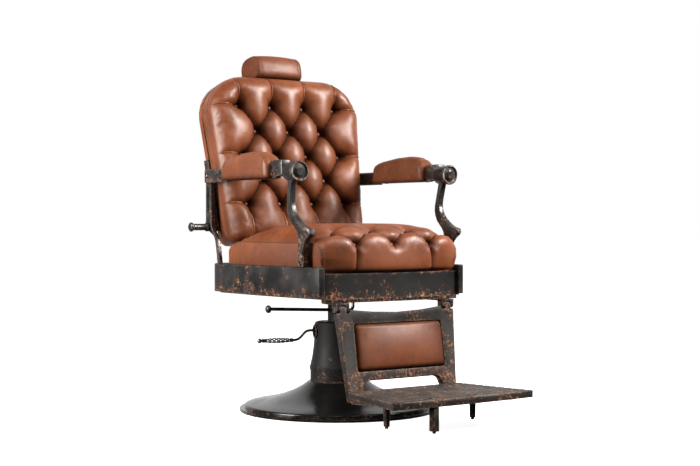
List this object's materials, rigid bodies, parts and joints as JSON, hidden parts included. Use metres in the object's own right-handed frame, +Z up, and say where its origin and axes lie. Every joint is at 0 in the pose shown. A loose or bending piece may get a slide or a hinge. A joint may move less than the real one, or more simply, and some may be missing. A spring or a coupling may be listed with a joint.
{
  "type": "barber chair",
  "caption": "Antique hydraulic barber chair: buttoned tan leather seat and reclining back, sliding headrest, iron arms, hinged footrest, swivel column on a flared round base.",
  "frame": {"origin": "on the floor at the swivel axis, the middle of the base's underside", "axes": "+Z up, the sitter faces -Y, +X to the sitter's left"},
  "size_m": [0.6762, 1.0701, 1.1221],
  "materials": {
    "black_iron": "gloss black, worn",
    "worn_iron": "worn black paint over rusted iron",
    "worn_steel": "dull worn steel",
    "bronze": "machined bronze",
    "seal": "oiled seal leather and rubber",
    "plywood": "raw plywood",
    "cognac_leather": "waxed aged leather"
  },
  "bodies": {
    "base": {"base_casting": "black_iron", "pump_sleeve": "worn_iron", "gland_ring": "bronze", "hydraulic_cylinder": "worn_steel", "cylinder_foot": "black_iron", "handle_eyelet": "black_iron", "pump_clevis": "worn_iron", "pump_pin": "worn_steel"},
    "ram": {"ram": "worn_steel", "piston_cup": "seal", "thrust_washer": "bronze"},
    "seat": {"seat_spider": "worn_iron", "seat_ring": "worn_iron", "front_apron": "worn_iron", "seat_board": "plywood", "seat_cushion": "cognac_leather", "lever_socket": "worn_iron", "right_arm_support": "worn_iron", "left_arm_support": "worn_iron", "right_toe_bolt": "worn_steel", "left_toe_bolt": "worn_steel", "right_hub_cap": "worn_iron", "left_hub_cap": "worn_iron", "right_arm_bar": "worn_iron", "left_arm_bar": "worn_iron", "right_arm_screw": "worn_steel", "left_arm_screw": "worn_steel", "right_arm_pad": "cognac_leather", "left_arm_pad": "cognac_leather", "right_rear_post": "worn_iron", "left_rear_post": "worn_iron", "right_footrest_bracket": "worn_iron", "left_footrest_bracket": "worn_iron", "right_footrest_pin": "worn_steel", "left_footrest_pin": "worn_steel", "left_pivot_bolt": "worn_steel"},
    "back": {"back_board": "plywood", "back_cushion": "cognac_leather", "right_back_iron": "worn_iron", "left_back_iron": "worn_iron", "headrest_guide": "black_iron"},
    "headrest": {"headrest_bar": "worn_steel", "headrest_pillow": "cognac_leather"},
    "headrest_clamp": {"headrest_thumbscrew": "worn_steel"},
    "recline_lock": {"recline_handle": "black_iron"},
    "footrest": {"footrest_frame": "worn_iron", "calf_backing": "plywood", "calf_pad": "cognac_leather", "footplate": "worn_iron", "right_foot_peg": "worn_iron", "left_foot_peg": "worn_iron", "front_foot_peg": "worn_iron"},
    "pump_lever": {"pump_rod": "worn_steel", "pump_grip": "worn_iron", "pump_ball": "worn_steel"},
    "swivel_lock": {"swivel_lever": "worn_steel", "lever_knob": "black_iron"}
  },
  "joints": [
    {"name": "seat_lift", "type": "slide", "parent": "base", "child": "ram", "axis": [0, 0, 1], "range_m": [0, 0.16]},
    {"name": "seat_swivel", "type": "hinge", "parent": "ram", "child": "seat", "pos_m": [0, 0, 0.36], "axis": [0, 0, 1], "continuous": true},
    {"name": "back_recline", "type": "hinge", "parent": "seat", "child": "back", "pos_m": [0, 0.297, 0.5615], "axis": [-1, 0, 0], "range_deg": [0, 55]},
    {"name": "headrest_slide", "type": "slide", "parent": "back", "child": "headrest", "axis": [0, 0.193, 0.9812], "range_m": [0, 0.1]},
    {"name": "headrest_clamp_turn", "type": "hinge", "parent": "back", "child": "headrest_clamp", "pos_m": [0, 0.38517, 0.90086], "axis": [0, 0.9812, -0.193], "continuous": true},
    {"name": "footrest_swing", "type": "hinge", "parent": "seat", "child": "footrest", "pos_m": [0, -0.2865, 0.331], "axis": [-1, 0, 0], "range_deg": [0, 70]},
    {"name": "pump_stroke", "type": "hinge", "parent": "base", "child": "pump_lever", "pos_m": [-0.05564, 0.01808, 0.2447], "axis": [0.309, 0.9511, 0], "range_deg": [-12, 12]},
    {"name": "swivel_lock_swing", "type": "hinge", "parent": "seat", "child": "swivel_lock", "pos_m": [0, -0.078, 0.3095], "axis": [0, 0, 1], "range_deg": [-20, 20]},
    {"name": "recline_lock_turn", "type": "hinge", "parent": "seat", "child": "recline_lock", "pos_m": [-0.2895, 0.297, 0.5615], "axis": [1, 0, 0], "range_deg": [0, 120]}
  ]
}
